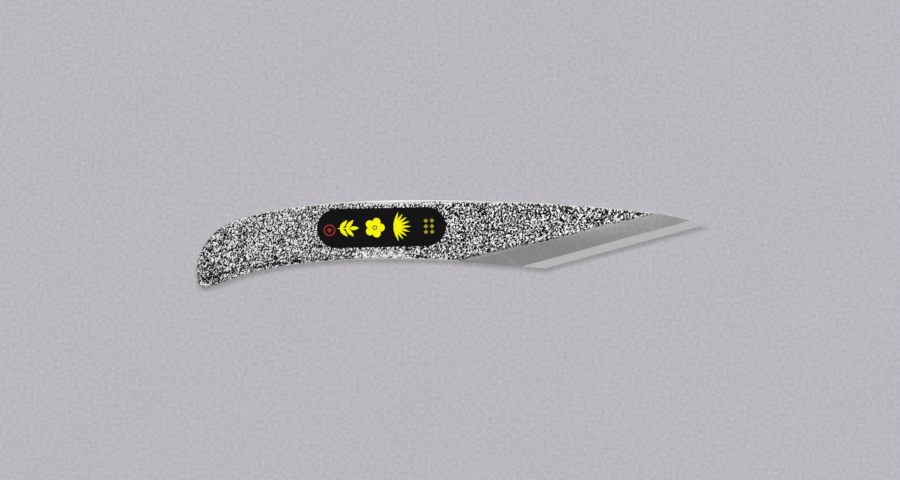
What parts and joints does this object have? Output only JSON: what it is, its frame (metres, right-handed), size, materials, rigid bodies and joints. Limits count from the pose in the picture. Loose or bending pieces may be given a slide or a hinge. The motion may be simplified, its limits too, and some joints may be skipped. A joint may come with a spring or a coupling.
{
  "type": "skiving knife",
  "caption": "Single-bevel leather skiving knife forged from one flat bar, with a curved horn-like handle, a textured iron body, a laminated steel edge and a plain film label.",
  "frame": {"origin": "centre of the bounding box in plan, on the flat back of the knife", "axes": "+X along the knife towards the tip, +Y towards the spine, +Z out of the face that carries the bevel and the label"},
  "size_m": [0.2, 0.0348, 0.0034],
  "materials": {
    "forged_iron": "soft iron with a coarse hammered texture, black scale left in the hollows and bright worn lands; the bevel is satin ground",
    "edge_steel": "hard steel, fine satin from the stone, bright along the cutting edge",
    "label_film": "black printed film with a satin gloss and plain yellow, red and gold ornaments"
  },
  "bodies": {
    "root": {"iron_body": "forged_iron", "steel_edge_plate": "edge_steel", "label": "label_film"}
  },
  "joints": []
}
